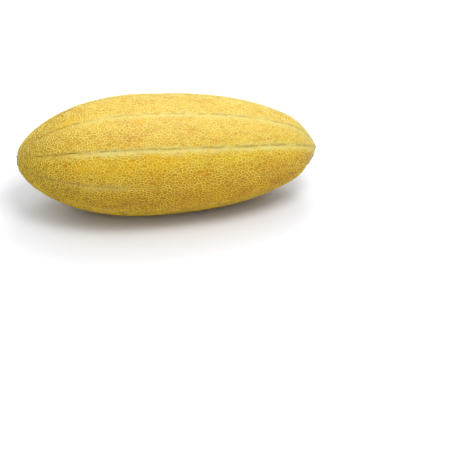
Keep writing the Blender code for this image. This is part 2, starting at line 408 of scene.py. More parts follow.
# %% Join meshes
JOINED_SHARE = 0.06
ACROSS = 0.50                     # a strand this much along the fruit isn't an across one
ROUND_MESHES = 0.16               # share of the length, at the blossom end
LONGEST_CHAIN = 1                 # strands that one mesh may lose


def join_meshes(net):
    """Dissolve some of the strands that run across the fruit."""
    is_scar = net.faces.layers.int["is_scar"]
    lost = dict.fromkeys(net.faces, 0)
    gone = []
    edges = list(net.edges)
    for number in draw.permutation(len(edges)):
        edge = edges[number]
        run = edge.verts[1].co - edge.verts[0].co
        here = edge.verts[0].co.x / skin_length
        if abs(run.x) > ACROSS * run.length or draw.uniform() > here / ROUND_MESHES:
            continue
        sides = edge.link_faces
        if any(face[is_scar] or lost[face] == LONGEST_CHAIN for face in sides):
            continue
        for face in sides:
            lost[face] += 1
        gone.append(edge)
        if len(gone) > JOINED_SHARE * len(lost):
            break
    bmesh.ops.dissolve_edges(net, edges=gone, use_verts=True)
    return len(gone)


print(join_meshes(net), "strands taken out;", len(net.faces), "meshes left,",
      sum(not edge.is_manifold for edge in net.edges), "open edges")

# %% [markdown]
# ## A floor in each mesh
#
# On the fruit the skin between the strands stays low and smooth while the cork stands up.
# Insetting each mesh with no thickness gives it a floor of its own, which is then drawn in
# towards its middle, by about the same distance along the fruit and across it. What is left
# round it is the flank of the strand. The distance changes over the fruit and from mesh to
# mesh, so the strands are thick in some patches and fine in others. Each floor also gets a
# random tone, which the paint uses later.

# %% Floors
FLANK_WIDTH = (0.00036, 0.00062)
FLANK_CHANGE = 0.4                # from mesh to mesh, as a share
FLOOR_SHARE = (0.40, 0.86)        # least and most of a mesh that is floor, in one direction
PATCH_SIZE = 0.028
STRAND_TONE = 0.5                 # floors have tones from 0 to 1, and strands the middle one

tone_layer = net.verts.layers.float.new("mesh_tone")
crest_layer = net.verts.layers.float.new("crest")
is_scar_face = net.faces.layers.int["is_scar"]
for corner in net.verts:
    corner[crest_layer] = 1.0
    corner[tone_layer] = STRAND_TONE
meshes = [face for face in net.faces if not face[is_scar_face]]
bmesh.ops.inset_individual(net, faces=meshes, thickness=0, depth=0)
tones = draw.uniform(0, 1, len(meshes))
for face, tone in zip(meshes, tones):
    middle = face.calc_center_median()
    patch = noise.noise(middle / PATCH_SIZE) / 2 + 0.5
    flank = FLANK_WIDTH[0] + (FLANK_WIDTH[1] - FLANK_WIDTH[0]) * patch
    flank *= 1 + FLANK_CHANGE * (draw.uniform() - 0.5)
    reach_along = max(abs(corner.co.x - middle.x) for corner in face.verts)
    reach_across = max((corner.co.yz - middle.yz).length for corner in face.verts)
    share_along, share_across = (min(max(1 - flank / reach, FLOOR_SHARE[0]), FLOOR_SHARE[1])
                                 for reach in (reach_along, reach_across))
    drawn_in = Vector((share_along, share_across, share_across))
    for corner in face.verts:
        corner.co = middle + drawn_in * (corner.co - middle)
        corner[crest_layer] = 0.0
        corner[tone_layer] = tone
bmesh.ops.triangulate(net, faces=[face for face in net.faces if len(face.verts) > 3])
skin_mesh = bpy.data.meshes.new("netted_skin")
net.to_mesh(skin_mesh)
net.free()
print(len(skin_mesh.polygons), "triangles")

# %% [markdown]
# ## Sutures
#
# The ten sutures are the seams between the fruit's ribs. They could be cut as grooves with
# hard edges, but on the fruit they are only soft dips that wander a little. So each corner of
# the skin is told how far it is from the nearest suture, and the dip is a smooth curve of that
# distance. The same distance is kept as an attribute, for the colours. Some sutures are plain
# from end to end, others are lost in the net on one half of the fruit, so each has a boldness
# at its blossom half and one at its stem half.

# %% Soft steps and soft noise
def smooth_step(low, high, value):
    """0 below low, 1 above high, and a soft slope between them."""
    t = np.clip((value - low) / (high - low), 0, 1)
    return t * t * (3 - 2 * t)


def grain(points, size, slot=0.0):
    """Soft noise from about -1 to 1 at each point, with lumps of the given size."""
    return np.array([noise.noise(Vector(point) / size + Vector((slot, slot, slot)))
                     for point in points])


def patches(points, size, low, high, slot):
    """Patches of about this size, 0 where the noise is below low and 1 above high."""
    return smooth_step(low, high, grain(points, size, slot))


skin_points = read_points(skin_mesh)
skin_x = skin_points[:, 0]
skin_angle = np.arctan2(-skin_points[:, 1], skin_points[:, 2])
skin_radius = body_radius(skin_x)
skin_lean = np.interp(skin_x, line_x, line_lean)
print(len(skin_x), "corners; steepest slope", round(math.degrees(np.abs(skin_lean).max())),
      "degrees")

# %% Distance from the nearest suture
RIBS = 10
FIRST_SUTURE = math.radians(15)   # from straight up, towards -Y
SUTURE_WANDERS = ((0.0009, 0.035), (0.0005, 0.009))   # sideways, and length of a wave
SUTURE_LANES = 0.1                # keeps apart the noise that two sutures wander by
SWAY = (0.0014, 0.215, 0.060)     # all sutures lean out sideways here; size, place and reach
SUTURE_FADE = (0.008, 0.034)      # where a suture sets in, from the blossom end
BOLDNESS = ((0.70, 0.72), (1.00, 0.80), (0.62, 0.08), (0.30, 0.20), (0.85, 0.45),
            (0.60, 0.80), (0.90, 0.60), (0.45, 0.75), (0.80, 0.85), (0.70, 0.40))
BOLDNESS_TURN = (0.07, 0.15)      # where the one goes over into the other

rib_angle = math.tau / RIBS
suture_number = np.round((skin_angle - FIRST_SUTURE) / rib_angle)
along_suture = np.stack((skin_x, suture_number % RIBS * SUTURE_LANES, 0 * skin_x), axis=1)
wander = sum(size * grain(along_suture, wave) for size, wave in SUTURE_WANDERS)
wander += SWAY[0] * np.exp(-((skin_x - SWAY[1]) / SWAY[2]) ** 2)
from_suture = (skin_angle - FIRST_SUTURE - suture_number * rib_angle) * skin_radius - wander
boldness = np.array(BOLDNESS)[(suture_number % RIBS).astype(int)]
past_turn = smooth_step(*BOLDNESS_TURN, skin_x)
suture_strength = smooth_step(*SUTURE_FADE, skin_x) * (
    boldness[:, 0] * (1 - past_turn) + boldness[:, 1] * past_turn)
print("sutures wander by up to", round(1000 * float(np.abs(wander).max()), 2), "mm")

# %% [markdown]
# ## The ribs and the uneven body
#
# Now every corner gets its height over the plain body. The ribs arch a little between the
# sutures, the sutures dip, and the whole body is a touch uneven, because no fruit is turned on
# a lathe. Round the flower's scar the blossom end has a small hollow of its own.

# %% Heights of the body
RIB_BULGE = 0.0004
SUTURE_DIP = 0.0005
SUTURE_HALF_WIDTH = 0.0034
DIP_FLOOR = 0.25                  # share of the half width that is the dip's full depth
LUMPS = (0.0005, 0.045, 5.0)      # height and size of the unevenness, and its slot of noise
BLOSSOM_HOLLOW = 0.0013
HOLLOW_RIM = (0.0056, 0.0100)     # fruit radius where the hollow is full and where it ends

across = np.abs(from_suture) / (skin_radius * rib_angle / 2)
arch = -RIB_BULGE * (1 - np.clip(across, 0, 1)) ** 2 * skin_radius / radius
dip_shape = 1 - smooth_step(DIP_FLOOR * SUTURE_HALF_WIDTH, SUTURE_HALF_WIDTH,
                            np.abs(from_suture))
dip = -SUTURE_DIP * dip_shape * suture_strength
lumps = LUMPS[0] * grain(skin_points, *LUMPS[1:])
hollow = BLOSSOM_HOLLOW * (1 - smooth_step(*HOLLOW_RIM, skin_radius)) * (skin_x < widest_x)
print("arch, dip, lumps and hollow reach, in mm:",
      in_mm(np.abs(part).max() for part in (arch, dip, lumps, hollow)))

# %% [markdown]
# ## Raising the net
#
# The strands stand up to half a millimetre high. One height for all would look printed on, so
# they are lower in patches of a centimetre and partly broken every few millimetres. In the
# sutures they are almost gone, and only a few cross from rib to rib.

# %% Heights of the net
STRAND_HEIGHT = 0.00045
# Size, the noise where it is 0, the noise where it is 1, and slot, for three sorts of patches.
COVER = (0.010, -0.55, 0.25, 9.0)
BREAKS = (0.0022, -0.45, 0.15, 33.0)
CROSSINGS = (0.005, -0.15, 0.25, 21.0)
COVERED = (0.55, 0.45)            # height that is always there, and what a patch adds
UNBROKEN = (0.28, 0.72)
CROSSING_SHARE = 0.6              # how much of its height a strand keeps across a suture
BARE_EDGES = (0.35, 1.1)          # of a suture's half width: bare to here, netted from here

cover = COVERED[0] + COVERED[1] * patches(skin_points, *COVER)
breaks = UNBROKEN[0] + UNBROKEN[1] * patches(skin_points, *BREAKS)
bare_edges = (edge * SUTURE_HALF_WIDTH for edge in BARE_EDGES)
bare = suture_strength * (1 - smooth_step(*bare_edges, np.abs(from_suture)))
crossing = CROSSING_SHARE * patches(skin_points, *CROSSINGS)
strand = cover * breaks * (1 - bare * (1 - crossing))
crest = np.empty(len(skin_points), np.float32)
skin_mesh.attributes["crest"].data.foreach_get("value", crest)
net_share = crest * strand
height = arch + dip + lumps + STRAND_HEIGHT * net_share

skin_x_out = skin_x - height * np.sin(skin_lean) + hollow
skin_r_out = skin_radius + height * np.cos(skin_lean)
raised = np.stack((skin_x_out, -skin_r_out * np.sin(skin_angle),
                   skin_r_out * np.cos(skin_angle)), axis=1)
print("least and greatest height over the plain body in mm:",
      in_mm((height.min(), height.max())))

# %% [markdown]
# ## The slanted stem end
#
# The stem end droops a little to one side, and the stalk didn't part square to the fruit: it
# left a small facet that faces down and towards the viewer. It could be cut off with a
# boolean, but pressing the few corners beyond the facet's plane back onto it keeps the mesh
# closed and its net whole.

# %% Stem facet
DROOP = 0.0026                    # how far the tip is off the long axis
DROOP_REACH = 0.050
DROOP_WAY = Vector((-0.070, -0.569, -0.819))
FACET_FACING = Vector((0.843, -0.375, -0.384)).normalized()
FACET_DEPTH = 0.0013              # how far the facet's plane lies below the tip

droop = DROOP * np.clip(1 - (skin_length - skin_x) / DROOP_REACH, 0, 1) ** 2
raised += np.outer(droop, DROOP_WAY)
tip = np.array((skin_length, 0, 0)) + DROOP * np.array(DROOP_WAY)
beyond = (raised - tip) @ np.array(FACET_FACING) + FACET_DEPTH
pressed = beyond > 0
raised[pressed] -= np.outer(beyond[pressed], FACET_FACING)
facet_middle = Vector(raised[pressed].mean(axis=0))
facet_size = raised[pressed].max(axis=0) - raised[pressed].min(axis=0)
write_points(skin_mesh, raised)
print(int(pressed.sum()), "corners on the facet; it measures", in_mm(facet_size), "mm")

# %% [markdown]
# ## Setting the fruit down
#
# The fruit is tipped to the tilt that the frame has, moved over the frame, and lowered until
# its underside presses a small flat spot on the ground. What went below the ground is lifted
# to it, which flattens the net there as its own weight would. The blossom end stays a little
# short of the frame, because it is hollow where the CAD fruit is round.

# %% Placing
FLAT_CUT = 0.0008
BLOSSOM_GAP = 0.0005

placing = Matrix.Rotation(rest_tip, 4, "Y")
skin_mesh.transform(placing)
tipped = read_points(skin_mesh)
shift = Vector((cad_low.x + BLOSSOM_GAP - tipped[:, 0].min(),
                (cad_low.y + cad_high.y - tipped[:, 1].min() - tipped[:, 1].max()) / 2,
                cad_low.z - tipped[:, 2].min() - FLAT_CUT))
placing = Matrix.Translation(shift) @ placing
set_down = tipped + np.array(shift)
on_ground = set_down[:, 2] < cad_low.z
set_down[on_ground, 2] = cad_low.z
write_points(skin_mesh, set_down)
print(int(on_ground.sum()), "corners rest on the ground; moved by", in_mm(shift), "mm")

# %% [markdown]
# ## What the skin's paint needs to know
#
# A pattern that follows the surface is best kept on the surface. Each corner stores how much
# of a strand it is, how deep in a suture's pale band and dark line, and how near to either
# end. It also stores painted light and shade by the way the skin faces: painted light on the
# top, and painted shade on the side, low on the flank and close to the ground. And it stores
# the ground spot, the pale patch where the fruit lay on the field. Shaders can read all these
# by name. The distance from a suture is stored as a sine that changes sign at each suture, so
# that it never jumps between two corners.

# %% Numbers for the net and the ends
FACET_RIM = 0.0030                # how far the facet's colour runs over its edge
BLOSSOM_TINT_REACH = 0.085
STEM_TINT_REACH = 0.045
STEM_HALF = (0.06, 0.26)          # where the skin turns paler, from the blossom end


def store(mesh, name, values):
    """Keep one number for each corner of the mesh."""
    attribute = mesh.attributes.new(name, "FLOAT", "POINT")
    attribute.data.foreach_set("value", values.astype(np.float32))


store(skin_mesh, "net", net_share)
store(skin_mesh, "facet", smooth_step(-FACET_RIM, 0, beyond))
store(skin_mesh, "blossom_end", 1 - smooth_step(0.0, BLOSSOM_TINT_REACH, skin_x))
store(skin_mesh, "stem_end", 1 - smooth_step(0.0, STEM_TINT_REACH, skin_length - skin_x))
store(skin_mesh, "stem_half", smooth_step(*STEM_HALF, skin_x))
print("mean share of strand:", round(float(net_share.mean()), 3))

# %% Numbers for the sutures
BAND_WIDTH = (0.0023, 0.0030)     # half width of a suture's pale band, and how it varies
BAND_GRAIN = (0.003, -0.4, 0.4, 50.0)
BAND_STRETCH = (0.4, 1, 1)        # draws that grain out along the fruit
BAND_OFFSET = 0.0008              # how far its middle lies below the suture's, partly as painted light on the lower flank
BAND_EDGES = (0.3, 1.6)           # of its half width: full to here, gone from here
BAND_REACH = (0.040, 0.100)       # where it is full, from the blossom end
BAND_SHARE = (0.25, 0.75)         # what it has at the blossom end, and what it gains
LINE_REACH = (0.060, 0.115)       # where the dark line in a suture fades, from the blossom end
LINE_LOSS = 0.50

half_wave = RIBS / 2
suture_turn = (suture_number * rib_angle + from_suture / skin_radius) * half_wave
store(skin_mesh, "suture_side", 1000 * skin_radius / half_wave * np.sin(suture_turn))
store(skin_mesh, "odd_suture", suture_number % 2)
band_width = BAND_WIDTH[0] + BAND_WIDTH[1] * patches(skin_points * BAND_STRETCH, *BAND_GRAIN)
# The pale band sits a little below the suture, partly as painted light on its upturned lower
# flank.
band = 1 - smooth_step(*BAND_EDGES, np.abs(from_suture - BAND_OFFSET) / band_width)
band_share = BAND_SHARE[0] + BAND_SHARE[1] * smooth_step(*BAND_REACH, skin_x)
store(skin_mesh, "suture_band", band * suture_strength * band_share)
line_share = 1 - LINE_LOSS * smooth_step(*LINE_REACH, skin_x)
store(skin_mesh, "suture_line", suture_strength * line_share)
print("half width of the pale bands in mm:", in_mm((band_width.min(), band_width.max())))

# %% Numbers for the sides
# Each pair is an upward or downward share of the surface, where a side sets in and is full.
TOP_LIGHT_SIDE = (0.45, 1.00)         # painted light on the top, upward
SIDE_SHADE = (-0.50, 0.45)        # painted shade on the side, a deeper colour, downward
FLANK_SHADE = (-0.65, -0.20)      # painted shade, a richer gold under the widest line, downward
UNDERSIDE_SHADE = (0.50, 0.85)          # painted shade, a dull olive close to the ground, downward
GROUND_SPOT = (0.78, 0.98)        # the pale patch, downward
SPOT_ENDS = (0.020, 0.080)        # and how far along the fruit it fades
TOP_LIGHT_REACH = (0.05, 0.17)    # where the painted light on top is full, from the blossom end
TOP_LIGHT_SHARE = (0.55, 0.45)    # what it has at the blossom end, and what it gains

upward = np.cos(skin_angle)
top_light_fade = TOP_LIGHT_SHARE[0] + TOP_LIGHT_SHARE[1] * smooth_step(*TOP_LIGHT_REACH, skin_x)
store(skin_mesh, "painted_top_light", smooth_step(*TOP_LIGHT_SIDE, upward) * top_light_fade)
store(skin_mesh, "painted_side_shade", smooth_step(*SIDE_SHADE, -upward))
store(skin_mesh, "painted_flank_shade", smooth_step(*FLANK_SHADE, -upward))
store(skin_mesh, "painted_underside_shade", smooth_step(*UNDERSIDE_SHADE, -upward))
spot_end = smooth_step(*SPOT_ENDS, np.abs(skin_x - widest_x))
store(skin_mesh, "ground_spot", smooth_step(*GROUND_SPOT, -upward) * (1 - spot_end))
for name in ("crest", "is_scar"):
    skin_mesh.attributes.remove(skin_mesh.attributes[name])
stored = [attribute.name for attribute in skin_mesh.attributes if attribute.data_type == "FLOAT"]
print("stored:", stored)

# %% [markdown]
# ## The skin as a piece
#
# A finished mesh joins the scene as an object. It rides on the fruit's one body and takes the
# place of the plain CAD melon.

# %% Skin
def add_piece(name, mesh):
    """Put a mesh in the scene as a piece of the fruit."""
    mesh.shade_smooth()
    piece = bpy.data.objects.new(name, mesh)
    bpy.context.scene.collection.objects.link(piece)
    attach(piece, "root")
    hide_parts("melon")
    return piece


skin = add_piece("melon_skin", skin_mesh)
print(skin.name, "has", len(skin_mesh.polygons), "faces")

# %% [markdown]
# ## Helpers for shader nodes
#
# Shader trees are quicker to read as short lines, so a few helpers add a node, set its values
# and link its inputs. Colours are given as they look on a screen and turned into the linear
# values that Blender works with.

# %% Nodes and materials
def new_material(name):
    """A material with nodes, and its Principled shader."""
    material = bpy.data.materials.new(name)
    material.use_nodes = True
    return material, material.node_tree.nodes["Principled BSDF"]


def add_node(tree, kind, inputs=None, **settings):
    """Add a shader node, with its settings, and its inputs given as values or as outputs."""
    node = tree.nodes.new(kind)
    for name, value in settings.items():
        setattr(node, name, value)
    for key, value in (inputs or {}).items():
        if isinstance(value, bpy.types.NodeSocket):
            tree.links.new(value, node.inputs[key])
        else:
            node.inputs[key].default_value = value
    return node


skin_material, skin_shader = new_material("netted_skin")
print("a new material starts with", [node.name for node in skin_material.node_tree.nodes])

# %% Masks
def attribute(tree, name):
    """The number that the piece's corners store under this name."""
    return add_node(tree, "ShaderNodeAttribute", attribute_name=name).outputs["Fac"]


def maths(tree, operation, *values):
    """One step of arithmetic."""
    return add_node(tree, "ShaderNodeMath", dict(enumerate(values)),
                    operation=operation).outputs[0]


def times(tree, first, second):
    """Two masks multiplied."""
    return maths(tree, "MULTIPLY", first, second)


def rest_of(tree, mask):
    """1 where the mask is 0, and 0 where it is 1."""
    return maths(tree, "SUBTRACT", 1.0, mask)


def ramp(tree, value, low, high, start=0.0, end=1.0):
    """Turn a value between low and high into one between start and end, softly."""
    return add_node(tree, "ShaderNodeMapRange",
                    {"Value": value, "From Min": low, "From Max": high, "To Min": start,
                     "To Max": end}, interpolation_type="SMOOTHSTEP").outputs["Result"]


paint = skin_material.node_tree
on_skin = {name: attribute(paint, name) for name in stored}
print(len(on_skin), "stored numbers ready for the paint")

# %% Colours and tints
def screen_colour(red, green, blue):
    """A colour of 0 to 255 as seen on a screen, as Blender's linear colour."""
    def linear(value):
        value /= 255
        return value / 12.92 if value <= 0.04045 else ((value + 0.055) / 1.055) ** 2.4
    return (linear(red), linear(green), linear(blue), 1.0)


def blend(tree, share, first, second):
    """Mix two colours."""
    node = add_node(tree, "ShaderNodeMix", {"Factor": share, "A": first, "B": second},
                    data_type="RGBA")
    return node.outputs["Result"]


def tint(tree, surface, mask, colour_and_share):
    """Lay a colour over the surface where the mask is, up to its share."""
    colour, share = colour_and_share
    return blend(tree, times(tree, mask, share), surface, colour)


print("a screen's middle grey is", round(screen_colour(128, 128, 128)[0], 3), "in linear light")

# %% [markdown]
# ## Shared effects: mottle and fine grain
#
# Skin, cork and scars are all blotched, only at other sizes. One node group makes such
# blotches. Its stretch input draws them out along the fruit, the way the skin grew. A second
# group is the fine roughness that catches the light, as pores on the skin and as fibres on
# the scars. A group is built once, and each material gives it values of its own.

# %% Helpers for groups
def new_group(name, inputs, output):
    """A node group of plain numbers: its tree, the sockets inside, and the one it puts out."""
    tree = bpy.data.node_groups.new(name, "ShaderNodeTree")
    for key, value in inputs.items():
        socket = tree.interface.new_socket(key, in_out="INPUT", socket_type="NodeSocketFloat")
        socket.default_value = value
    tree.interface.new_socket(output, in_out="OUTPUT", socket_type="NodeSocketFloat")
    given = tree.nodes.new("NodeGroupInput").outputs
    return tree, given, tree.nodes.new("NodeGroupOutput").inputs[output]


def use_group(tree, group, *values):
    """Place a group in a material with its own values, and hand back what it puts out."""
    return add_node(tree, "ShaderNodeGroup", dict(enumerate(values)),
                    node_tree=group).outputs[0]


# %% Mottle group
mottle_group, given, mask_out = new_group(
    "mottle", {"Size": 0.01, "Stretch": 1.0, "Low": 0.35, "High": 0.65}, "Mask")
place = add_node(mottle_group, "ShaderNodeTexCoord").outputs["Object"]
squeeze = maths(mottle_group, "DIVIDE", 1.0, given["Stretch"])
squeezes = add_node(mottle_group, "ShaderNodeCombineXYZ", {"X": squeeze, "Y": 1.0, "Z": 1.0})
drawn = add_node(mottle_group, "ShaderNodeVectorMath", {0: place, 1: squeezes.outputs[0]},
                 operation="MULTIPLY")
blotches = add_node(mottle_group, "ShaderNodeTexNoise",
                    {"Vector": drawn.outputs[0],
                     "Scale": maths(mottle_group, "DIVIDE", 1.0, given["Size"]),
                     "Detail": 4.0, "Roughness": 0.6})
mottle_group.links.new(ramp(mottle_group, blotches.outputs["Fac"], given["Low"], given["High"]),
                       mask_out)
print("mottle group:", [socket.name for socket in given if socket.name])

# %% Fine grain group
grain_group, given, height_out = new_group("fine_grain", {"Scale": 2000.0, "Detail": 3.0},
                                           "Height")
place = add_node(grain_group, "ShaderNodeTexCoord").outputs["Object"]
specks = add_node(grain_group, "ShaderNodeTexNoise",
                  {"Vector": place, "Scale": given["Scale"], "Detail": given["Detail"]})
grain_group.links.new(specks.outputs["Fac"], height_out)
print("fine grain group:", [socket.name for socket in given if socket.name])

# %% The groups in use
def mottle(tree, size, stretch, low, high):
    """A mask of blotches of about this size in metres, clear below low and full above high."""
    return use_group(tree, mottle_group, size, stretch, low, high)


def fine_bump(tree, scale, detail, strength, distance):
    """A surface direction roughened by the fine grain."""
    bump = add_node(tree, "ShaderNodeBump", {"Height": use_group(tree, grain_group, scale, detail),
                                             "Strength": strength, "Distance": distance})
    return bump.outputs["Normal"]


print("groups ready:", [group.name for group in (mottle_group, grain_group)])

# %% [markdown]
# ## The skin's palette
#
# Plain colours come first. After them come the tints: each is a colour with the largest share
# of it that the surface takes, where its mask is full. Holding the shares beside the colours
# makes it easy to see what the skin is made of, and to change it.

# %% Palette
GOLD = screen_colour(210, 158, 10)
LEMON = screen_colour(232, 201, 50)
DEEP_GOLD = screen_colour(196, 128, 6)
RUSSET = screen_colour(176, 118, 20)
VIVID = screen_colour(244, 190, 16)
PIT_BROWN = screen_colour(140, 96, 8)
CREAM_CORK = screen_colour(252, 235, 110)
YELLOW_CORK = screen_colour(254, 232, 92)
SUTURE_GREEN = screen_colour(226, 212, 126)

BLOTCH_GOLD = (DEEP_GOLD, 0.70)
# Painted shade: a richer gold low on the flank.
FLANK_SHADE_GOLD = (DEEP_GOLD, 0.55)
FLECK_RUSSET = (RUSSET, 0.24)
# Russet patches, laid only on the side as painted shade.
RUSSET_SHADE = (RUSSET, 0.42)
# Painted light on the top.
TOP_LIGHT_GOLD = (screen_colour(226, 195, 104), 0.50)
# Painted shade on the side.
SHADE_OCHRE = (screen_colour(156, 111, 0), 0.85)
STEM_GREEN = (screen_colour(216, 204, 104), 0.15)
PIT_OLIVE = (screen_colour(152, 124, 12), 0.54)
# Painted light on the cork on top.
TOP_LIGHT_CORK = (screen_colour(244, 225, 146), 0.80)
# Painted shade on the cork on the side.
SHADE_STRAW_CORK = (screen_colour(255, 222, 40), 0.90)
# The suture's green in painted shade on the side.
SUTURE_GREEN_IN_SHADE = (screen_colour(184, 170, 78), 0.80)
# The suture's dark line, partly a seam and partly painted shade of its upper flank.
SUTURE_LINE_AND_SHADE = (screen_colour(104, 88, 16), 0.95)
FACET_BEIGE = (screen_colour(206, 190, 152), 0.80)
# Painted shade close to the ground.
UNDERSIDE_SHADE_OLIVE = (screen_colour(128, 96, 10), 0.60)
GROUND_CREAM = (screen_colour(238, 214, 130), 0.45)
print("gold in linear light:", [round(value, 3) for value in GOLD[:3]])

# %% [markdown]
# ## Paint between the strands
#
# Between the strands the skin is golden, and deeper and more orange in blotches. It is paler
# on the stem half. Painted light makes it paler on top, painted shade makes it ochre on the
# side and a richer gold low on the flank. The pits of the blossom end are olive. One flat
# colour would look like plastic, so each of these is a tint laid over the last.

# %% Floor colour
# Size, stretch, and the noise where a blotch is clear and where it is full.
PALE_PATCHES = (0.030, 2.0, 0.35, 0.65)
DEEP_BLOTCHES = (0.012, 3.0, 0.45, 0.75)
PALE_SHARE = 0.5                  # of lemon, by the stem half and by the patches
PALE_LOSS = 0.7                   # of it, lost in the painted shade on the side
PITS = (0.2, 1.0, 0.0, 0.09)      # from these tones to these shares of brown

paleness = maths(paint, "MULTIPLY_ADD", on_skin["stem_half"], PALE_SHARE,
                 times(paint, mottle(paint, *PALE_PATCHES), PALE_SHARE))
# Painted shade on the side takes the paleness away.
lit = maths(paint, "MULTIPLY_ADD", on_skin["painted_side_shade"], -PALE_LOSS, 1.0)
# Painted shade low on the flank, on the stem half.
lower_shade = times(paint, on_skin["stem_half"], on_skin["painted_flank_shade"])
floors = blend(paint, times(paint, paleness, lit), GOLD, LEMON)
floors = tint(paint, floors, mottle(paint, *DEEP_BLOTCHES), BLOTCH_GOLD)
# Painted light on top, then painted shade on the side and low on the flank.
floors = tint(paint, floors, on_skin["painted_top_light"], TOP_LIGHT_GOLD)
floors = tint(paint, floors, on_skin["painted_side_shade"], SHADE_OCHRE)
floors = tint(paint, floors, lower_shade, FLANK_SHADE_GOLD)
floors = blend(paint, ramp(paint, on_skin["mesh_tone"], *PITS), floors, PIT_BROWN)
floors = tint(paint, floors, on_skin["stem_end"], STEM_GREEN)
floors = tint(paint, floors, on_skin["blossom_end"], PIT_OLIVE)
print("floors painted,", len(paint.nodes), "nodes so far")

# %% [markdown]
# ## Paint on the strands
#
# The strands are cork: cream, more yellow at the blossom end, paler on top with painted light,
# and straw on the side with painted shade. The stored height of the net says where they are,
# and a fine mottle wears their edges. Then ripeness goes over floors and strands alike: russet
# flecks of a few millimetres and vivid patches of a few centimetres. On the side, russet
# patches are laid on as painted shade.

# %% Strand colour and ripeness
STRAND_EDGES = (0.07, 0.38)       # of the net's height: floor to here, strand from here
WORN_CORK = (0.0012, 1.5, 0.18, 0.42)
FLECKS = (0.0035, 2.5, 0.48, 0.66)
VIVID_PATCHES = (0.024, 2.2, 0.50, 0.72)
VIVID_SHARE = (-0.24, 0.42)       # change to the stem half, and share at the blossom half
RUSSET_SHADE_PATCHES = (0.017, 2.0, 0.50, 0.74)

cork = blend(paint, on_skin["blossom_end"], CREAM_CORK, YELLOW_CORK)
# Painted light on the cork on top, and painted shade on the cork on the side.
cork = tint(paint, cork, on_skin["painted_top_light"], TOP_LIGHT_CORK)
cork = tint(paint, cork, on_skin["painted_side_shade"], SHADE_STRAW_CORK)
strands = times(paint, ramp(paint, on_skin["net"], *STRAND_EDGES), mottle(paint, *WORN_CORK))
surface = blend(paint, strands, floors, cork)

surface = tint(paint, surface, mottle(paint, *FLECKS), FLECK_RUSSET)
vivid_share = maths(paint, "MULTIPLY_ADD", on_skin["stem_half"], *VIVID_SHARE)
vivid = times(paint, mottle(paint, *VIVID_PATCHES), vivid_share)
surface = blend(paint, vivid, surface, VIVID)
# Russet patches only on the side, as painted shade.
russet_shade = times(paint, mottle(paint, *RUSSET_SHADE_PATCHES), on_skin["painted_side_shade"])
surface = tint(paint, surface, russet_shade, RUSSET_SHADE)
print("strands painted,", len(paint.nodes), "nodes so far")

# %% [markdown]
# ## Paint in the sutures
#
# A suture is a dull pale green band, partly hidden where strands cross it. The band lies a
# little below the suture, partly as painted light, and is darker green with painted shade on
# the side. Along its upper edge runs a thin olive line: a seam line, and also painted shade of
# the suture's upper flank. The line is broken into dashes, widens into a soft painted shade on
# the stem half, and fades along the fruit. It could be drawn by hand on an unwrapped skin, but
# the stored distance from the suture gives its place everywhere, with no seams.

# %% Suture band and line
BAND_UNDER_CORK = 0.45            # share of the band that a strand hides
BAND_BLOTCHES = (0.0022, 1.8, 0.20, 0.55)
LINE_OFFSET = 0.9                 # of the line from the suture's middle towards its upper flank, as painted shade, in mm
LINE_EDGES = (0.15, 0.95)         # from the line's middle in mm: full to here, gone from here
LINE_WIDENING = 1.3               # what the stem half adds to its width, as a share, for a soft painted shade
LINE_DASHES = (0.0042, 3.0, 0.38, 0.58)
NEAR_SUTURE = (4.0, 6.0)          # no line farther from a suture, in mm

uncovered = rest_of(paint, times(paint, strands, BAND_UNDER_CORK))
pale_band = times(paint, on_skin["suture_band"], uncovered)
pale_band = times(paint, pale_band, mottle(paint, *BAND_BLOTCHES))
# The suture's green, darker with painted shade on the side.
green = tint(paint, SUTURE_GREEN, on_skin["painted_side_shade"], SUTURE_GREEN_IN_SHADE)
surface = blend(paint, pale_band, surface, green)

# The dark line sits on the suture's upper flank and widens on the stem half: partly a seam line,
# partly painted shade.
turned = maths(paint, "MULTIPLY_ADD", on_skin["odd_suture"], -2.0, 1.0)
downward = times(paint, on_skin["suture_side"], turned)
from_line = maths(paint, "ABSOLUTE", maths(paint, "ADD", downward, LINE_OFFSET))
widening = maths(paint, "MULTIPLY_ADD", on_skin["stem_half"], LINE_WIDENING, 1.0)
line = rest_of(paint, ramp(paint, maths(paint, "DIVIDE", from_line, widening), *LINE_EDGES))
side = maths(paint, "ABSOLUTE", on_skin["suture_side"])
line = times(paint, line, rest_of(paint, ramp(paint, side, *NEAR_SUTURE)))
line = times(paint, line, mottle(paint, *LINE_DASHES))
line = times(paint, line, on_skin["suture_line"])
surface = tint(paint, surface, line, SUTURE_LINE_AND_SHADE)
print("sutures painted,", len(paint.nodes), "nodes so far")

# %% [markdown]
# ## The facet, the underside and the gloss
#
# The slanted facet is bare beige cork, the skin close to the ground is a dull olive of painted
# shade, and the ground spot is cream. The skin is waxy and the cork is dry, so the roughness
# follows the net too, and fine pores break up the highlights.

# %% Finish of the skin
FACET_BLOTCHES = (0.003, 1.0, 0.25, 0.6)
DRYNESS = (0.28, 0.50)            # roughness that a strand adds, and the skin's own
WAX_SHINE = 0.22
PORES = (1800.0, 3.0, 0.35, 0.00015)    # scale, detail, strength and depth

facet = times(paint, on_skin["facet"], mottle(paint, *FACET_BLOTCHES))
surface = tint(paint, surface, facet, FACET_BEIGE)
# Painted shade close to the ground.
surface = tint(paint, surface, on_skin["painted_underside_shade"], UNDERSIDE_SHADE_OLIVE)
surface = tint(paint, surface, on_skin["ground_spot"], GROUND_CREAM)

paint.links.new(surface, skin_shader.inputs["Base Color"])
paint.links.new(maths(paint, "MULTIPLY_ADD", strands, *DRYNESS), skin_shader.inputs["Roughness"])
paint.links.new(fine_bump(paint, *PORES), skin_shader.inputs["Normal"])
skin_shader.inputs["Specular IOR Level"].default_value = WAX_SHINE
skin_mesh.materials.append(skin_material)
print("skin painted with", len(paint.nodes), "nodes")

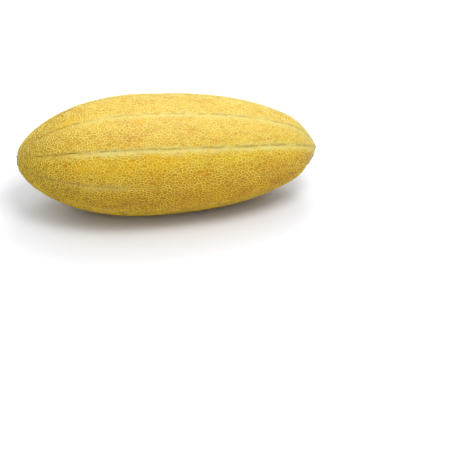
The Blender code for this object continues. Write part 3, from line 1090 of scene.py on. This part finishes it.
# %% [markdown]
# ## The scars at the two ends
#
# The stalk parted from the stem end and left a rough, corky ring round a dished middle. The
# blossom end keeps a smaller, flatter scar where the flower dried. Each is a short disc whose
# top is inset ring by ring. Then the rings are raised or lowered and torn by radial cracks.

# %% A scar
SCAR_SIDES = 48
SCAR_FOOT = 0.9                   # radius of its foot, as a share of the scar's radius
SCAR_THICKNESS = 0.4              # the other measures too are shares of that radius
CRACKS = 9
CRACK_BEND = 3                    # how far the tearing bends a crack
CRACK_SHARPNESS = 0.3             # the lower, the narrower
CRACK_DEPTH = 0.14
TEARS = (2, 0.10, 0.10)           # how many go round, and how much they lift and widen


def scar_disc(scar_radius, rings):
    """A disc inset ring by ring. Each ring is the share it shrinks by and its step in height."""
    scar = bmesh.new()
    bmesh.ops.create_cone(scar, cap_ends=True, segments=SCAR_SIDES,
                          radius1=scar_radius * SCAR_FOOT, radius2=scar_radius,
                          depth=scar_radius * SCAR_THICKNESS)
    top = max(scar.faces, key=lambda face: face.calc_center_median().z)
    for shrink, rise in rings:
        bmesh.ops.inset_region(scar, faces=[top], thickness=scar_radius * shrink,
                               depth=scar_radius * rise)
    bmesh.ops.poke(scar, faces=[top])
    return scar


def tear(scar, scar_radius, seed):
    """Crack the scar's top from the middle outwards, and make its rim uneven."""
    for corner in scar.verts:
        angle = math.atan2(corner.co.y, corner.co.x)
        out = corner.co.xy.length / scar_radius
        torn = noise.noise(Vector((math.cos(angle) * TEARS[0], math.sin(angle) * TEARS[0],
                                   seed)))
        crack = abs(math.sin(CRACKS * angle / 2 + CRACK_BEND * torn)) ** CRACK_SHARPNESS
        if corner.co.z > 0:
            corner.co.z += scar_radius * out * (TEARS[1] * torn - CRACK_DEPTH * (1 - crack))
        corner.co.xy *= 1 + TEARS[2] * torn


def make_scar(name, middle, facing, scar_radius, rings, seed):
    """A corky scar with its middle at this place of the fruit, before it is set down."""
    scar = scar_disc(scar_radius, rings)
    tear(scar, scar_radius, seed)
    turned = facing.to_track_quat("Z", "Y").to_matrix().to_4x4()
    bmesh.ops.transform(scar, verts=scar.verts,
                        matrix=placing @ Matrix.Translation(middle) @ turned)
    bmesh.ops.triangulate(scar, faces=[face for face in scar.faces if len(face.verts) > 4])
    bmesh.ops.recalc_face_normals(scar, faces=scar.faces)
    mesh = bpy.data.meshes.new(name)
    scar.to_mesh(mesh)
    scar.free()
    return add_piece(name, mesh)


print("each scar has", SCAR_SIDES, "sides and", CRACKS, "cracks")

# %% The two scars
STEM_SCAR = (0.0070, ((0.10, 0.05), (0.14, 0.03), (0.12, -0.06), (0.16, -0.08),
                      (0.15, 0.02), (0.12, 0.03)), 3.0)    # radius, rings and seed
BLOSSOM_SCAR = (0.0054, ((0.12, 0.03), (0.18, -0.02), (0.18, -0.02), (0.18, 0.01)), 8.0)
STEM_SCAR_SUNK = 0.0005           # so that no gap shows under its edge
BLOSSOM_SCAR_SUNK = 0.0008
BLOSSOM_FACING = Vector((-1, 0, 0))
POLE_CORNERS = 17                 # corners round the blossom end's pole

pole_corners = np.argsort(skin_x)[:POLE_CORNERS]
blossom_tip = Vector((float(raised[pole_corners, 0].mean()), 0, 0))
stem_scar = make_scar("stem_scar", facet_middle - STEM_SCAR_SUNK * FACET_FACING, FACET_FACING,
                      *STEM_SCAR)
blossom_scar = make_scar("blossom_scar", blossom_tip - BLOSSOM_SCAR_SUNK * BLOSSOM_FACING,
                         BLOSSOM_FACING, *BLOSSOM_SCAR)
print("scars:", [len(piece.data.polygons) for piece in (stem_scar, blossom_scar)], "faces")

# %% [markdown]
# ## The scars' cork
#
# Dried cork is matt, beige and streaked with brown. The same two groups that serve the skin
# give it its blotches and its fibres, only at other sizes, so the scars and the skin look
# grown together.

# %% Scar material
SCAR_BEIGE = screen_colour(190, 172, 128)
SCAR_BROWN = screen_colour(120, 96, 60)
SCAR_BLOTCHES = (0.0016, 1.0, 0.4, 0.7)
SCAR_ROUGHNESS = 0.85
FIBRES = (2200.0, 4.0, 0.6, 0.0002)     # scale, detail, strength and depth

cork_material, cork_shader = new_material("scar_cork")
cork_paint = cork_material.node_tree
streaks = mottle(cork_paint, *SCAR_BLOTCHES)
cork_paint.links.new(blend(cork_paint, streaks, SCAR_BEIGE, SCAR_BROWN),
                     cork_shader.inputs["Base Color"])
cork_paint.links.new(fine_bump(cork_paint, *FIBRES), cork_shader.inputs["Normal"])
cork_shader.inputs["Roughness"].default_value = SCAR_ROUGHNESS
for piece in (stem_scar, blossom_scar):
    piece.data.materials.append(cork_material)
print("scars painted with", len(cork_paint.nodes), "nodes")

# %% [markdown]
# ## The table
#
# The picture is a plain product shot on a white table that burns out to pure white. The table
# is one big face just under the fruit. Its white is a very little cool, so the shadows don't
# turn brown under the yellow fruit, and it has no gloss, so it mirrors nothing.

# %% Table
TABLE_SIZE = 6.0
TABLE_GAP = 0.0001
TABLE_WHITE = (0.92, 0.94, 0.985, 1)
TABLE_ROUGHNESS = 0.9

table = bmesh.new()
bmesh.ops.create_grid(table, x_segments=1, y_segments=1, size=TABLE_SIZE / 2)
bmesh.ops.translate(table, verts=table.verts, vec=(0, 0, cad_low.z - TABLE_GAP))
table_mesh = bpy.data.meshes.new("table")
table.to_mesh(table_mesh)
table.free()
table_top = bpy.data.objects.new("table", table_mesh)
bpy.context.scene.collection.objects.link(table_top)
table_top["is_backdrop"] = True
table_material, table_shader = new_material("table_white")
table_shader.inputs["Base Color"].default_value = TABLE_WHITE
table_shader.inputs["Roughness"].default_value = TABLE_ROUGHNESS
table_shader.inputs["Specular IOR Level"].default_value = 0.0
table_mesh.materials.append(table_material)
print("table:", [round(side, 2) for side in table_top.dimensions], "m")

# %% [markdown]
# ## The light
#
# A bright ceiling lights the top, and two softboxes stand over the fruit, the stronger one on
# the viewer's side. No light comes from near the horizon, so the underside stays dark. The
# camera itself sees the world as white in every direction, which is what the Light Path node
# is for.

# %% Ceiling
CEILING_LIGHT = 1.01
CEILING_EDGE = (0.36, 0.60)       # upward share of a direction where the ceiling sets in

world = bpy.data.worlds.new("studio")
world.use_nodes = True
sky = world.node_tree
direction = add_node(sky, "ShaderNodeTexCoord").outputs["Generated"]
upwards = add_node(sky, "ShaderNodeSeparateXYZ", {"Vector": direction}).outputs["Z"]
ceiling = ramp(sky, upwards, *CEILING_EDGE, 0.0, CEILING_LIGHT)
seen = add_node(sky, "ShaderNodeLightPath").outputs["Is Camera Ray"]
background = sky.nodes["Background"]
sky.links.new(maths(sky, "MAXIMUM", ceiling, seen), background.inputs["Strength"])
background.inputs["Color"].default_value = (1, 1, 1, 1)
bpy.context.scene.world = world
print("the ceiling sets in", round(math.degrees(math.asin(CEILING_EDGE[0]))),
      "degrees above the horizon")

# %% Softboxes
SOFTBOX_SIZE = (0.6, 0.5)
SOFTBOXES = {"front_softbox": ((0.25, -0.48, 1.38), 8.4),     # place and power
             "back_softbox": ((0.25, 0.66, 1.30), 3.1)}

for name, (place, power) in SOFTBOXES.items():
    softbox = bpy.data.objects.new(name, bpy.data.lights.new(name, "AREA"))
    softbox.data.shape = "RECTANGLE"
    softbox.data.size, softbox.data.size_y = SOFTBOX_SIZE
    softbox.data.energy = power
    softbox.location = place
    softbox.rotation_euler = (axis_middle - softbox.location).to_track_quat("-Z", "Y").to_euler()
    bpy.context.scene.collection.objects.link(softbox)
bpy.context.scene.view_settings.view_transform = "Standard"
bpy.context.scene.view_settings.look = "None"
print("softboxes:", {name: power for name, (_, power) in SOFTBOXES.items()}, "W")

# %% [markdown]
# ## Measure and finish
#
# The box of the finished fruit is written beside the CAD box, so the two can be compared.

# %% Sizes
bpy.context.view_layer.update()
new_low, new_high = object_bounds()
print("visual box in mm:", in_mm(new_high - new_low))
